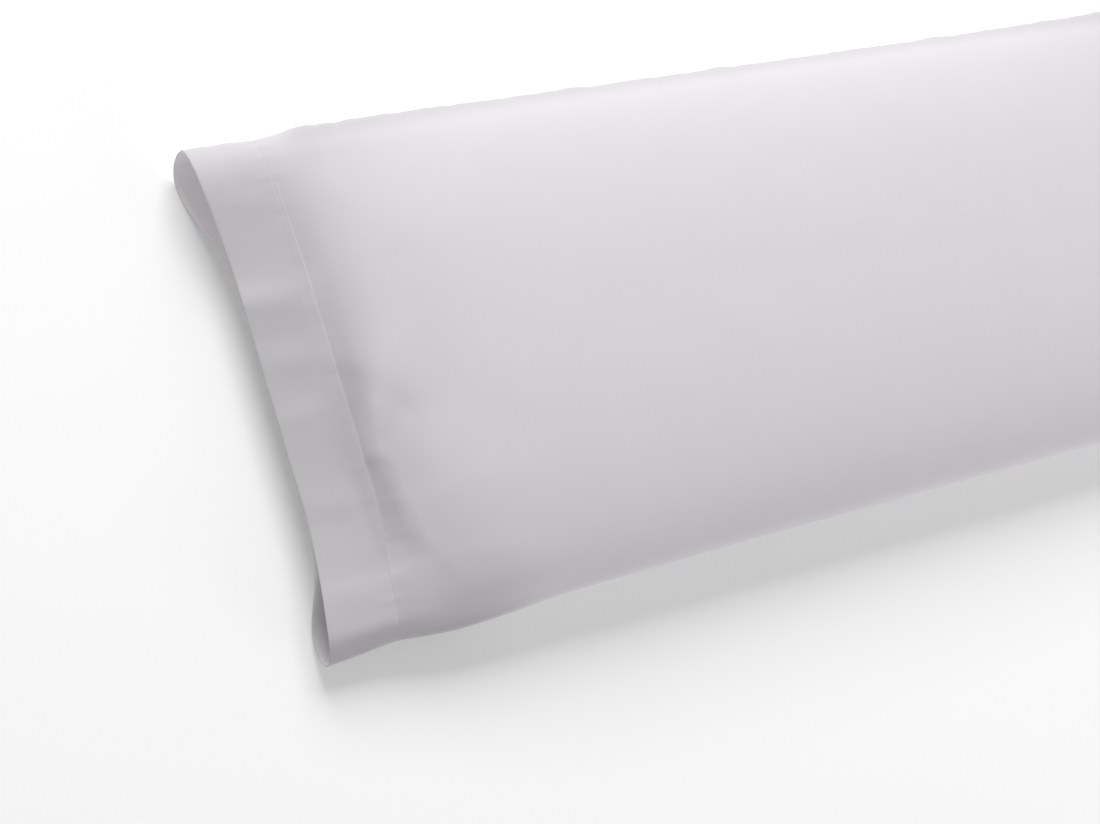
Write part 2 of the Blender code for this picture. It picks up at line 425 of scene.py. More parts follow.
@dataclass
class SoftRelief:
    """How far the cloth stands off the plain form: folds, the hem's stitches and the gathers at the seams.

    Fields:
        crease_steps: points that a crease's curve is read at.
        crease_faint: the share of its depth that a crease starts with.
        crease_full: the share of its way after which it has its full depth.
        fold_clear: the way round the case from each long edge that the folds need to reach their depth.
        under_share: the share of the broad waves that the under wall has.
    """

    form: CaseForm
    crease_steps: int = 25
    crease_faint: float = 0.45
    crease_full: float = 0.35
    fold_clear: float = 0.024
    stitch_depth: float = 0.00020
    stitch_spread: float = 0.0013
    stitch_uneven: float = 0.35
    tuck_start: float = 0.0004
    tuck_floor: float = 0.0024
    tuck_uneven: float = 0.15
    tuck_power: float = 1.2
    hem_ripple: float = 0.00036
    ripple_reach: float = 0.009
    seam_depth: float = 0.0008
    seam_spread: float = 0.0016
    seam_ripple: float = 0.0006
    seam_reach: float = 0.022
    end_ripple: float = 0.0011
    end_reach: float = 0.034
    end_seam: float = 0.006
    waver: float = 0.0006
    waver_start: float = 0.05
    broad_slant: float = 0.4
    cross_slant: float = 0.3
    under_share: float = 0.15
    hem_waves: WaveSum = WaveSum((0.0087, 0.0131, 0.0214, 0.0463), (0.10, 0.45, 0.72, 0.31))
    seam_waves: WaveSum = WaveSum((0.0173, 0.0262, 0.0415, 0.0890), (0.33, 0.81, 0.12, 0.56))
    end_waves: WaveSum = WaveSum((0.0195, 0.0311, 0.0527), (0.61, 0.20, 0.48))
    broad_waves: WaveSum = WaveSum((0.093, 0.147, 0.236), (0.15, 0.62, 0.88))
    cross_waves: WaveSum = WaveSum((0.112, 0.171, 0.305), (0.40, 0.07, 0.73))

    def fold_height(self, x: np.ndarray, y: np.ndarray) -> np.ndarray:
        """Height that the straight folds add.

        Args:
            x: places along the case, from the mouth.
            y: places across it, as many.

        Returns:
            One height for each place.
        """
        height = np.zeros_like(x)
        for fold in FOLDS:
            turn = math.radians(fold.turn)
            dx, dy = x - fold.along, y - fold.across
            lengthwise = (dx * math.cos(turn) + dy * math.sin(turn)) / fold.half_length
            crosswise = (dy * math.cos(turn) - dx * math.sin(turn)) / fold.half_width
            height -= fold.depth * np.exp(-lengthwise * lengthwise - crosswise * crosswise)
        return height

    def crease_height(self, x: np.ndarray, y: np.ndarray) -> np.ndarray:
        """Height that the curved creases add.

        Args:
            x: places along the case, from the mouth.
            y: places across it, as many.

        Returns:
            One height for each place.
        """
        height = np.zeros_like(x)
        for crease in CREASES:
            corners = (crease.start, crease.middle, crease.end)
            nearest = np.full_like(x, FAR)
            way = np.zeros_like(x)
            for t in np.linspace(0.0, 1.0, self.crease_steps):
                parts = ((1.0 - t) ** 2, 2.0 * t * (1.0 - t), t * t)
                px = sum(part * corner[0] for part, corner in zip(parts, corners))
                py = sum(part * corner[1] for part, corner in zip(parts, corners))
                distance = np.hypot(x - px, y - py)
                closer = distance < nearest
                nearest, way = np.where(closer, distance, nearest), np.where(closer, t, way)
            width = crease.start_width + (crease.end_width - crease.start_width) * way
            fade = self.crease_faint + (1.0 - self.crease_faint) * smooth_step(0.0, self.crease_full, way)
            height -= crease.depth * fade * np.exp(-((nearest / width) ** 2))
        return height

    def tuck_height(
        self, off: np.ndarray, y: np.ndarray, ripple: np.ndarray, is_top: np.ndarray
    ) -> np.ndarray:
        """Height that the drop behind the stitches adds. The under wall, close below, gives way to it.

        Args:
            off: distance behind the line of stitches.
            y: place across the case.
            ripple: the stitches' uneven waves.
            is_top: 1 on the top wall and 0 on the under one.

        Returns:
            The height for each point, zero in front of the stitches.
        """
        across = [tuck.across for tuck in TUCKS]
        depth = np.interp(y, across, [tuck.depth for tuck in TUCKS]) * (1.0 + self.tuck_uneven * ripple)
        width = np.interp(y, across, [tuck.width for tuck in TUCKS])
        dropped = smooth_step(self.tuck_start, self.tuck_floor, off)
        climbed = np.clip(off / width, 0.0, 1.0)
        return depth * dropped * (climbed**self.tuck_power - 1.0) * (2.0 * is_top - 1.0)

    def stitch_height(
        self, along: np.ndarray, girth: np.ndarray, y: np.ndarray, is_top: np.ndarray
    ) -> np.ndarray:
        """Height that the hem's row of stitches adds.

        Args:
            along: distance from the mouth of each point.
            girth: distance round the section from the folded edge.
            y: place across the case.
            is_top: 1 on the top wall and 0 on the under one.

        Returns:
            The furrow of the stitches, the drop behind them and the ripples beside them.
        """
        off = along - self.form.hem_width
        ripple = self.hem_waves.at(girth)
        pulled = self.stitch_depth * (1.0 + self.stitch_uneven * ripple)
        furrow = -pulled * np.exp(-((off / self.stitch_spread) ** 2))
        beside = self.hem_ripple * ripple * np.exp(-((off / self.ripple_reach) ** 2))
        return furrow + self.tuck_height(off, y, ripple, is_top) + beside

    def seam_height(self, along: np.ndarray, from_seam: np.ndarray) -> np.ndarray:
        """Height that the long seam adds.

        Args:
            along: distance from the mouth of each point.
            from_seam: distance round the section from the sewn edge.

        Returns:
            The seam's groove and its gathers.
        """
        groove = -self.seam_depth * np.exp(-((from_seam / self.seam_spread) ** 2))
        gathers = self.seam_ripple * self.seam_waves.at(along) * np.exp(-from_seam / self.seam_reach)
        for pucker in PUCKERS:
            bump = np.exp(-(((along - pucker.along) / pucker.half_length) ** 2))
            gathers += pucker.height * bump * np.exp(-((from_seam / pucker.reach) ** 2))
        return groove + gathers

    def end_height(self, along: np.ndarray, y: np.ndarray) -> np.ndarray:
        """Height that the closed end's seam adds.

        Args:
            along: distance from the mouth of each point.
            y: place across the case.

        Returns:
            The gathers beside the seam.
        """
        from_end = self.form.length - along
        gathers = self.end_ripple * self.end_waves.at(y) * np.exp(-from_end / self.end_reach)
        return gathers * smooth_step(0.0, self.end_seam, from_end)

    def height(
        self,
        along: np.ndarray,
        girth: np.ndarray,
        from_seam: np.ndarray,
        points: np.ndarray,
        is_top: np.ndarray,
    ) -> np.ndarray:
        """All of the relief together.

        Args:
            along: distance from the mouth of each point.
            girth: distance round the section from the folded edge.
            from_seam: distance round the section from the sewn edge.
            points: the plain form's points.
            is_top: 1 on the top wall and 0 on the under one.

        Returns:
            How far each point moves along its normal.
        """
        x, y = points[..., 0] + self.form.length / 2.0, points[..., 1]
        inside = smooth_step(0.0, self.fold_clear, np.minimum(np.abs(girth), from_seam))
        folds = (self.fold_height(x, y) + self.crease_height(x, y)) * is_top * inside
        broad_wave = self.broad_waves.at(x + self.broad_slant * y)
        broad = self.waver * broad_wave * self.cross_waves.at(y - self.cross_slant * x)
        resting = np.where(is_top > 0.5, 1.0, self.under_share)
        return (
            folds
            + broad * resting * smooth_step(0.0, self.waver_start, along)
            + self.stitch_height(along, girth, y, is_top)
            + self.seam_height(along, from_seam) * resting**0.5
            + self.end_height(along, y)
        )


@dataclass(frozen=True)
class PaintedShadeRow:
    """How white the top wall is painted at one place across, as painted shade, from 0 where it hangs free to
    1 on the pillow.

    Fields:
        across: the place.
        hem: the painted whiteness of the hem there.
        behind: the painted whiteness right behind the stitches, where the cloth hangs free and the hollows
            lie.
        fore: how far in front of the stitches that starts.
        touch: the distance from the mouth at which the cloth meets the pillow inside and the painted shade
            fades.
        blend: half the width over which the painted shade changes there.
        slow: the share of the change that comes only over a longer way.
    """

    across: float
    hem: float
    behind: float
    fore: float
    touch: float
    blend: float
    slow: float


# The loop of the sewn edge is the whitest part of the hem, because light reaches it from both sides.
PAINTED_SHADE_ROWS = (
    PaintedShadeRow(-0.205, 0.00, 0.00, 0.001, 0.150, 0.045, 0.00),
    PaintedShadeRow(-0.193, 0.02, 0.00, 0.001, 0.148, 0.050, 0.00),
    PaintedShadeRow(-0.183, 0.28, 0.06, 0.001, 0.156, 0.062, 0.00),
    PaintedShadeRow(-0.175, 0.30, 0.12, 0.001, 0.150, 0.072, 0.00),
    PaintedShadeRow(-0.160, 0.32, 0.24, 0.001, 0.126, 0.066, 0.10),
    PaintedShadeRow(-0.149, 0.32, 0.30, 0.001, 0.100, 0.040, 0.25),
    PaintedShadeRow(-0.141, 0.18, 0.08, 0.001, 0.092, 0.012, 0.40),
    PaintedShadeRow(-0.131, 0.16, 0.00, 0.002, 0.089, 0.008, 0.34),
    PaintedShadeRow(-0.118, 0.16, 0.00, 0.003, 0.084, 0.007, 0.34),
    PaintedShadeRow(-0.100, 0.20, 0.00, 0.004, 0.082, 0.005, 0.34),
    PaintedShadeRow(-0.084, 0.22, 0.00, 0.006, 0.080, 0.005, 0.38),
    PaintedShadeRow(-0.072, 0.22, 0.00, 0.010, 0.077, 0.005, 0.40),
    PaintedShadeRow(-0.060, 0.20, 0.00, 0.015, 0.073, 0.006, 0.44),
    PaintedShadeRow(-0.045, 0.18, 0.00, 0.016, 0.073, 0.008, 0.56),
    PaintedShadeRow(-0.030, 0.18, 0.02, 0.016, 0.077, 0.010, 0.50),
    PaintedShadeRow(-0.016, 0.16, 0.00, 0.018, 0.083, 0.009, 0.10),
    PaintedShadeRow(-0.004, 0.14, 0.02, 0.018, 0.085, 0.012, 0.00),
    PaintedShadeRow(0.008, 0.16, 0.14, 0.006, 0.085, 0.014, 0.00),
    PaintedShadeRow(0.030, 0.12, 0.20, 0.001, 0.087, 0.018, 0.00),
    PaintedShadeRow(0.055, 0.06, 0.22, 0.001, 0.087, 0.022, 0.00),
    PaintedShadeRow(0.072, 0.14, 0.30, 0.001, 0.087, 0.026, 0.00),
    PaintedShadeRow(0.085, 0.46, 0.40, 0.001, 0.088, 0.028, 0.00),
    PaintedShadeRow(0.130, 0.52, 0.44, 0.001, 0.088, 0.031, 0.00),
    PaintedShadeRow(0.165, 0.50, 0.54, 0.001, 0.077, 0.027, 0.00),
    PaintedShadeRow(0.177, 0.76, 0.78, 0.001, 0.072, 0.023, 0.00),
    PaintedShadeRow(0.193, 0.86, 0.88, 0.001, 0.070, 0.022, 0.00),
    PaintedShadeRow(0.205, 0.50, 0.50, 0.001, 0.068, 0.020, 0.00),
)


@dataclass(frozen=True)
class ShadePainter:
    """Reads the painted shade of the top wall, as a whiteness, from its rows.

    Fields:
        slow_reach: the longer way that the slow share takes.
        behind_end: how far behind the stitches the whiteness of the cloth there is reached.
        band_start: where along the case the sewn edge's duller band begins.
        band_full: where along the case it is at its dullest.
        seam_start: where across the case that band begins, which is painted duller.
        seam_end: where across the case it is dullest.
        seam_loss: how much whiteness it loses there.
    """

    slow_reach: float = 0.060
    behind_end: float = 0.004
    band_start: float = 0.06
    band_full: float = 0.10
    seam_start: float = 0.184
    seam_end: float = 0.205
    seam_loss: float = 0.62

    def at(self, points: np.ndarray, form: CaseForm) -> np.ndarray:
        """Reads the painted shade, as how white the cloth is painted.

        Args:
            points: points of the cloth.
            form: the case's form, for its length and its hem.

        Returns:
            0 where the cloth hangs free and 1 where the pillow is behind it.
        """
        x, y = points[..., 0] + form.length / 2.0, points[..., 1]
        # painted shade: the hem, the hollows behind the stitches and the sewn edge's band are painted darker
        places = [shade_row.across for shade_row in PAINTED_SHADE_ROWS]
        hem, behind, fore, touch, blend, slow = (
            np.interp(y, places, [getattr(shade_row, name) for shade_row in PAINTED_SHADE_ROWS])
            for name in ("hem", "behind", "fore", "touch", "blend", "slow")
        )
        passed = (x - form.hem_width + fore) / (fore + self.behind_end)
        free = hem + (behind - hem) * smooth_step(0.0, 1.0, passed)
        met = smooth_step(-1.0, 1.0, (x - touch) / blend)
        settled = smooth_step(0.0, 1.0, (x - touch) / self.slow_reach)
        white = free + (1.0 - free) * ((1.0 - slow) * met + slow * settled)
        at_seam = smooth_step(self.seam_start, self.seam_end, y)
        in_band = at_seam * smooth_step(self.band_start, self.band_full, x)
        return white * (1.0 - self.seam_loss * in_band)


@dataclass
class CaseCloth:
    """The filled case's cloth as one closed mesh, with its mouth's pocket and its weave's UV map.

    Fields:
        rim: the turned edge's radius, half the thickness of the hem's two layers.
        ply: the cloth's thickness behind the hem.
        hem_blend: half the way over which one thickness becomes the other.
        pocket_middle: how far the mouth's pocket goes in along the middle.
        pocket_corner: how far it goes in at the long edges.
        pocket_power: how late towards the long edges it becomes deeper.
        pillow_bulge: how far the pillow's end stands out in the pocket, as a share of the gap's half.
        through_span: the two places across the case that the light passing through is given for.
        through_folded: that light at the first, as a share of the one at the second.
        through_fade: the share of it that is lost at the pocket's end.
        row_counts: sections in front of the stitches, at them, at the shoulder, the body and the end.
    """

    form: CaseForm
    relief: SoftRelief
    shade_painter: ShadePainter = ShadePainter()
    rim: float = 0.00065
    ply: float = 0.0009
    hem_blend: float = 0.001
    pocket_middle: float = 0.040
    pocket_corner: float = 0.108
    pocket_power: int = 4
    pillow_bulge: float = 0.5
    through_span: tuple[float, float] = (-0.20, 0.20)
    through_folded: float = 0.05
    through_fade: float = 0.5
    before_stitches: float = 0.005
    after_stitches: float = 0.006
    body_start: float = 0.260
    end_start: float = 0.860
    row_counts: tuple[int, ...] = (22, 22, 76, 125, 76)
    top_strips: int = 180
    under_strips: int = 84
    pocket_rows: int = 24
    pillow_rows: int = 7
    end_rows: int = 4
    rim_rows: int = 5

    def shares(self) -> tuple[np.ndarray, np.ndarray]:
        """Shares of the half width round one section, from the sewn edge over the top and back underneath.

        Returns:
            The shares, and 1 where a point belongs to the top wall.
        """
        top = np.sin(math.pi * (0.5 - np.arange(self.top_strips + 1) / self.top_strips))
        under = np.sin(math.pi * (np.arange(self.under_strips + 1) / self.under_strips - 0.5))
        shares = np.concatenate([top, under[1:-1]])
        is_top = np.concatenate([np.ones_like(top), np.zeros_like(under[1:-1])])
        return shares, is_top

    def rows(self) -> np.ndarray:
        """Places of the outer face's sections.

        Returns:
            Their distances from the mouth, closest at the hem's stitches.
        """
        hem, length = self.form.hem_width, self.form.length
        at_stitches = (hem - self.before_stitches, hem + self.after_stitches)
        ends = (*at_stitches, self.body_start, self.end_start, length)
        blocks = zip((self.rim, *ends), ends, self.row_counts)
        return np.concatenate([
            np.linspace(start, end, count, endpoint=end == length) for start, end, count in blocks
        ])

    def plain(self, along: np.ndarray, share: np.ndarray, is_top: np.ndarray) -> np.ndarray:
        """Points of the plain form, each on its own wall."""
        top, under = self.form.points(along, share, Wall.TOP), self.form.points(along, share, Wall.UNDER)
        return np.where(is_top[..., None] > 0.5, top, under)

    def normals(self, grid: np.ndarray, ahead: np.ndarray) -> np.ndarray:
        """Outward normals of a grid of sections.

        Args:
            grid: points by section and by place round it.
            ahead: the same points a little further from the mouth.

        Returns:
            Unit vectors, one for each point.
        """
        lengthwise = ahead - grid
        around = np.roll(grid, -1, axis=1) - np.roll(grid, 1, axis=1)
        normal = np.cross(around, lengthwise)
        return normal / np.maximum(np.linalg.norm(normal, axis=-1, keepdims=True), TINY)

    def girths(self, grid: np.ndarray) -> tuple[np.ndarray, np.ndarray]:
        """Distances round each section.

        Args:
            grid: points by section and by place round it.

        Returns:
            The distance from the folded edge, below zero underneath, and the distance from the sewn edge.
        """
        steps = np.linalg.norm(np.roll(grid, -1, axis=1) - grid, axis=-1)
        walked = np.concatenate([np.zeros((len(grid), 1)), np.cumsum(steps, axis=1)], axis=1)
        at_fold = walked[:, self.top_strips : self.top_strips + 1]
        from_seam = np.minimum(walked[:, :-1], walked[:, -1:] - walked[:, :-1])
        return (at_fold - walked)[:, :-1], from_seam

    def shaped(self, along: np.ndarray, inset: np.ndarray) -> np.ndarray:
        """Sections of the cloth with its relief, set in from the outer face.

        Args:
            along: distance from the mouth, by section and by place round it.
            inset: how far each section is set in.

        Returns:
            The points, none of them under the surface that the case lies on.
        """
        share, is_top = self.shares()
        share, is_top = np.broadcast_to(share, along.shape), np.broadcast_to(is_top, along.shape)
        grid = self.plain(along, share, is_top)
        ahead = self.plain(along + STEP_AHEAD, share, is_top)
        normals = self.normals(grid, ahead)
        girth, from_seam = self.girths(grid)
        height = self.relief.height(along, girth, from_seam, grid, is_top)
        points = grid + normals * (height - inset)[..., None]
        points[..., 2] = np.maximum(points[..., 2], inset)
        return points

    def outer(self) -> np.ndarray:
        """Sections of the outer face.

        Returns:
            The points by section, from the mouth to the closed end.
        """
        rows = self.rows()
        count = self.top_strips + self.under_strips
        along = np.broadcast_to(rows[:, None], (len(rows), count))
        return self.shaped(along, np.zeros_like(along))

    def rim_sections(self) -> np.ndarray:
        """Sections round the turned edge of the hem.

        Returns:
            The points by section, from the outer face to the inner one.
        """
        turns = np.linspace(0.0, math.pi, self.rim_rows + 2)[1:-1]
        count = self.top_strips + self.under_strips
        along = np.broadcast_to((self.rim * (1.0 - np.sin(turns)))[:, None], (len(turns), count))
        inset = np.broadcast_to((self.rim * (1.0 - np.cos(turns)))[:, None], along.shape)
        return self.shaped(along, inset)

    def pocket_reach(self) -> np.ndarray:
        """How far into the case its pocket goes, at each place round a section."""
        share, _ = self.shares()
        return self.pocket_middle + (self.pocket_corner - self.pocket_middle) * share**self.pocket_power

    def inner(self) -> np.ndarray:
        """Sections of the pocket's face.

        Returns:
            The points by section, from the mouth to where the pillow inside begins.
        """
        depth = np.linspace(0.0, 1.0, self.pocket_rows)[:, None]
        along = self.rim + depth * (self.pocket_reach() - self.rim)[None, :]
        hem = self.form.hem_width
        hemmed = 1.0 - smooth_step(hem - self.hem_blend, hem + self.hem_blend, along)
        inset = self.ply + (2.0 * self.rim - self.ply) * hemmed
        return self.shaped(along, inset)

    def pillow_end(self) -> np.ndarray:
        """Sections that close the pocket with the soft end of the pillow inside.

        Returns:
            The points by section, from the pocket's face inwards to the last flat strip.
        """
        reach = self.pocket_reach()
        gap = self.inner()[-1]
        half = np.abs(gap[:, 2] - self.opposite_height(gap)) / 2.0
        made = []
        for turn in np.radians(np.linspace(0.0, CLOSE_TURN, self.pillow_rows + 1)[1:]):
            along = (reach - self.pillow_bulge * half * math.sin(turn))[None, :]
            section = self.shaped(along, np.full(along.shape, self.ply))[0]
            middle = (section[:, 2] + self.opposite_height(section)) / 2.0
            section[:, 2] = middle + (section[:, 2] - middle) * math.cos(turn)
            made.append(section)
        return np.array(made)

    def closed_end(self, section: np.ndarray) -> np.ndarray:
        """Sections that close the case with a soft round end.

        Args:
            section: the outer face's last section.

        Returns:
            The points by section.
        """
        opposite = self.opposite_height(section)
        middle, half = (section[:, 2] + opposite) / 2.0, (section[:, 2] - opposite) / 2.0
        made = []
        for row in range(1, self.end_rows + 1):
            turn = math.radians(CLOSE_TURN) * row / self.end_rows
            points = section.copy()
            points[:, 2] = middle + half * math.cos(turn)
            points[:, 0] += np.abs(half) * math.sin(turn)
            made.append(points)
        return np.array(made)

    def opposite_height(self, section: np.ndarray) -> np.ndarray:
        """Height of the other wall right above or below each point.

        Args:
            section: the points of one section.

        Returns:
            One height for each point.
        """
        t, count = self.top_strips, len(section)
        top, under = section[: t + 1], np.concatenate([section[t:], section[:1]])
        on_under = np.interp(top[:, 1], under[:, 1], under[:, 2])
        on_top = np.interp(under[1:-1, 1], top[::-1, 1], top[::-1, 2])
        return np.concatenate([on_under, on_top])[:count]

    def weave_map(self, grid: np.ndarray, start: int) -> np.ndarray:
        """UV places in metres along and round the cloth.

        Args:
            grid: points by section and by place round it.
            start: the section that the distances along the cloth start from.

        Returns:
            The two distances for each point, with one more column for the seam's far side.
        """
        closed = np.concatenate([grid, grid[:, :1]], axis=1)
        lengthwise = np.linalg.norm(np.diff(closed, axis=0), axis=-1)
        u = np.concatenate([np.zeros((1, closed.shape[1])), np.cumsum(lengthwise, axis=0)])
        u -= u[start : start + 1]
        around = np.linalg.norm(np.diff(closed, axis=1), axis=-1)
        v = np.concatenate([np.zeros((len(grid), 1)), np.cumsum(around, axis=1)], axis=1)
        v -= v[:, self.top_strips : self.top_strips + 1]
        return np.stack([u, v], axis=-1)

    def end_strips(self, count: int, base: int, turned: bool) -> list[tuple[int, ...]]:
        """Faces that join a flattened section's top to its underside.

        Args:
            count: places round the section.
            base: the section's first vertex.
            turned: whether the faces point the other way.

        Returns:
            The faces, as a fan between the two walls.
        """
        t = self.top_strips
        top = [base + i for i in range(t + 1)]
        under = [base] + [base + i for i in range(count - 1, t, -1)] + [base + t]
        share, _ = self.shares()
        faces: list[tuple[int, ...]] = []
        i = j = 0
        while i < len(top) - 1 or j < len(under) - 1:
            step_top = share[top[min(i + 1, len(top) - 1)] - base]
            step_under = share[under[min(j + 1, len(under) - 1)] - base]
            if j == len(under) - 1 or (i < len(top) - 1 and step_top >= step_under):
                face = (top[i], top[i + 1], under[j])
                i += 1
            else:
                face = (top[i], under[j + 1], under[j])
                j += 1
            if len(set(face)) == 3:
                faces.append(face[::-1] if turned else face)
        return faces

    def looks(self, grid: np.ndarray, first_inner: int) -> dict[str, np.ndarray]:
        """What the material reads at each point.

        Args:
            grid: points by section and by place round it.
            first_inner: the first section of the pocket.

        Returns:
            The values of each point attribute by its name.
        """
        pocket = np.arange(len(grid))[:, None] >= first_inner
        # painted light: the pocket's inside is painted at full tone, the top wall gets the painted shade
        painted_shade = np.where(pocket, 1.0, self.shade_painter.at(grid, self.form))
        # painted glow: how strongly the pocket's inside glows, weaker towards the folded edge and deeper in
        depth = (grid[..., 0] + self.form.length / 2.0) / self.pocket_corner
        sideways = np.interp(grid[..., 1], self.through_span, (self.through_folded, 1.0))
        passed = sideways * (1.0 - self.through_fade * smooth_step(0.0, 1.0, depth))
        return {PAINTED_SHADE_ATTRIBUTE: painted_shade, LIT_THROUGH: np.where(pocket, passed, 0.0)}

    def build(self) -> bpy.types.Object:
        """Makes the cloth's mesh object.

        Returns:
            The object, at the origin.
        """
        outer = self.outer()
        end = self.closed_end(outer[-1])
        rim = self.rim_sections()
        grid = np.concatenate([end[::-1], outer[::-1], rim, self.inner(), self.pillow_end()])
        rows, count = grid.shape[:2]
        mouth = len(end) + len(outer)
        uv = self.weave_map(grid, mouth)
        faces, face_uvs = [], []
        for r in range(rows - 1):
            for c in range(count):
                d = (c + 1) % count
                here, after = r * count, (r + 1) * count
                faces.append((here + c, here + d, after + d, after + c))
                face_uvs += [uv[r, c], uv[r, c + 1], uv[r + 1, c + 1], uv[r + 1, c]]
        for section, turned in ((0, False), (rows - 1, True)):
            for face in self.end_strips(count, section * count, turned):
                faces.append(face)
                face_uvs += [uv[section, index % count] for index in face]
        mesh = bpy.data.meshes.new("pillowcase_cloth")
        mesh.from_pydata(grid.reshape(-1, 3).tolist(), [], faces)
        layer = mesh.uv_layers.new(name=WEAVE_UV)
        layer.uv.foreach_set("vector", np.array(face_uvs).ravel())
        for name, values in self.looks(grid, mouth + len(rim)).items():
            mesh.attributes.new(name, "FLOAT", "POINT").data.foreach_set("value", values.ravel())
        self.point_outwards(mesh)
        mesh.shade_smooth()
        cloth = bpy.data.objects.new("pillowcase_cloth", mesh)
        bpy.context.scene.collection.objects.link(cloth)
        return cloth

    def point_outwards(self, mesh: bpy.types.Mesh) -> None:
        """Turns all faces outwards.

        Args:
            mesh: a closed mesh whose faces agree.
        """
        bm = bmesh.new()
        bm.from_mesh(mesh)
        if bm.calc_volume(signed=True) < 0.0:
            bmesh.ops.reverse_faces(bm, faces=bm.faces)
        triangles = sum(len(face.verts) - 2 for face in bm.faces)
        open_edges = sum(1 for edge in bm.edges if len(edge.link_faces) != 2)
        log.info("cloth: %d triangles, %d open edges", triangles, open_edges)
        bm.to_mesh(mesh)
        bm.free()


@dataclass
class HemStitches:
    """The row of small straight stitches that holds the hem, all round the mouth.

    Fields:
        lift: how far a stitch stands off the cloth.
        dip: how far its ends sink into the cloth, in thicknesses.
        skew: how far the stitches turn from the line, in radians.
        skew_step: how that turn changes from stitch to stitch.
    """

    cloth: CaseCloth
    pitch: float = 0.0030
    length: float = 0.0024
    thickness: float = 0.00030
    lift: float = 0.00005
    dip: float = 1.2
    dip_power: int = 4
    skew: float = 0.05
    skew_step: float = 2.4

    def one_stitch(self) -> tuple[np.ndarray, list[tuple[int, ...]]]:
        """Models one stitch: a short thread whose ends dip into the cloth.

        Returns:
            Its points, with the thread along X, and its faces.
        """
        bpy.ops.object.select_all(action="DESELECT")
        bpy.ops.mesh.primitive_uv_sphere_add(
            segments=6, ring_count=6, radius=0.5, rotation=(0.0, math.pi / 2.0, 0.0)
        )
        stitch = bpy.context.object
        bpy.ops.object.transform_apply(location=True, rotation=True, scale=True)
        bpy.ops.object.mode_set(mode="EDIT")
        bpy.ops.mesh.select_all(action="SELECT")
        bpy.ops.transform.resize(value=(self.length, self.thickness, self.thickness))
        bpy.ops.object.mode_set(mode="OBJECT")
        points = np.array([tuple(vertex.co) for vertex in stitch.data.vertices])
        points[:, 2] -= self.dip * self.thickness * (points[:, 0] / (self.length / 2.0)) ** self.dip_power
        # a new sphere's faces come in another order in each run
        faces = sorted(tuple(polygon.vertices) for polygon in stitch.data.polygons)
        bpy.data.objects.remove(stitch)
        return points, faces

    def line(self) -> tuple[np.ndarray, np.ndarray]:
        """The stitched line round the case.

        Returns:
            Its points, and the outward normal at each.
        """
        share, is_top = (values[None, :] for values in self.cloth.shares())
        along = np.full(share.shape, self.cloth.form.hem_width)
        plain = self.cloth.plain(along, share, is_top)
        ahead = self.cloth.plain(along + STEP_AHEAD, share, is_top)
        return self.cloth.shaped(along, np.zeros_like(along))[0], self.cloth.normals(plain, ahead)[0]

    def build(self) -> bpy.types.Object:
        """Makes the stitches' mesh object, one copy of the stitch at each place.

        Returns:
            The object, at the origin.
        """
        points, faces = self.one_stitch()
        line, normals = self.line()
        line = np.concatenate([line, line[:1]])
        normals = np.concatenate([normals, normals[:1]])
        walked = np.concatenate([[0.0], np.cumsum(np.linalg.norm(np.diff(line, axis=0), axis=-1))])
        count = int(walked[-1] / self.pitch)
        made_points: list[np.ndarray] = []
        made_faces: list[tuple[int, ...]] = []
        for index in range(count):
            middle = (index + 0.5) * walked[-1] / count
            start, here, end = (
                np.array([np.interp(place, walked, line[:, axis]) for axis in range(3)])
                for place in (middle - self.length / 2.0, middle, middle + self.length / 2.0)
            )
            up = np.array([np.interp(middle, walked, normals[:, axis]) for axis in range(3)])
            forward = (end - start) / np.linalg.norm(end - start)
            side = np.cross(up, forward)
            side /= np.linalg.norm(side)
            up = np.cross(forward, side)
            skew = self.skew * math.sin(self.skew_step * index)
            turned = forward * math.cos(skew) + side * math.sin(skew)
            side = side * math.cos(skew) - forward * math.sin(skew)
            made_points.append(here + up * self.lift + points @ np.stack([turned, side, up]))
            base = index * len(points)
            made_faces += [tuple(base + corner for corner in face) for face in faces]
        mesh = bpy.data.meshes.new("hem_stitches")
        mesh.from_pydata(np.concatenate(made_points).tolist(), [], made_faces)
        mesh.shade_smooth()
        stitches = bpy.data.objects.new("hem_stitches", mesh)
        bpy.context.scene.collection.objects.link(stitches)
        log.info("hem stitches: %d", count)
        return stitches


class NodeBench:
    """Adds and links the nodes of one node tree."""

    def __init__(self, tree: bpy.types.NodeTree) -> None:
        """Keeps the tree."""
        self.tree = tree

    def add(self, kind: str, inputs: dict | None = None, **settings: object) -> bpy.types.Node:
        """Adds a node.

        Args:
            kind: the node's type.
            inputs: what goes into its sockets, each a value or another node's output.
            settings: its properties.

        Returns:
            The node.
        """
        node = self.tree.nodes.new(kind)
        for name, value in settings.items():
            setattr(node, name, value)
        for name, value in (inputs or {}).items():
            if isinstance(value, bpy.types.NodeSocket):
                self.tree.links.new(value, node.inputs[name])
            else:
                node.inputs[name].default_value = value
        return node

    def math(self, operation: str, *values: object) -> bpy.types.NodeSocket:
        """Adds a Math node and returns its output."""
        return self.add("ShaderNodeMath", dict(enumerate(values)), operation=operation).outputs[0]

    def colours(
        self, factor: object, first: object, second: object, way: str = "MIX"
    ) -> bpy.types.NodeSocket:
        """Adds a Mix node for two colours.

        Args:
            factor: how much of the second colour there is.
            first: a colour or another node's output.
            second: a colour or another node's output.
            way: how the two are mixed.

        Returns:
            The mixed colour's output.
        """
        inputs = {MIX_FACTOR: factor, MIX_COLOURS[0]: first, MIX_COLOURS[1]: second}
        mix = self.add("ShaderNodeMix", inputs, data_type="RGBA", blend_type=way)
        return mix.outputs[MIXED_COLOUR]


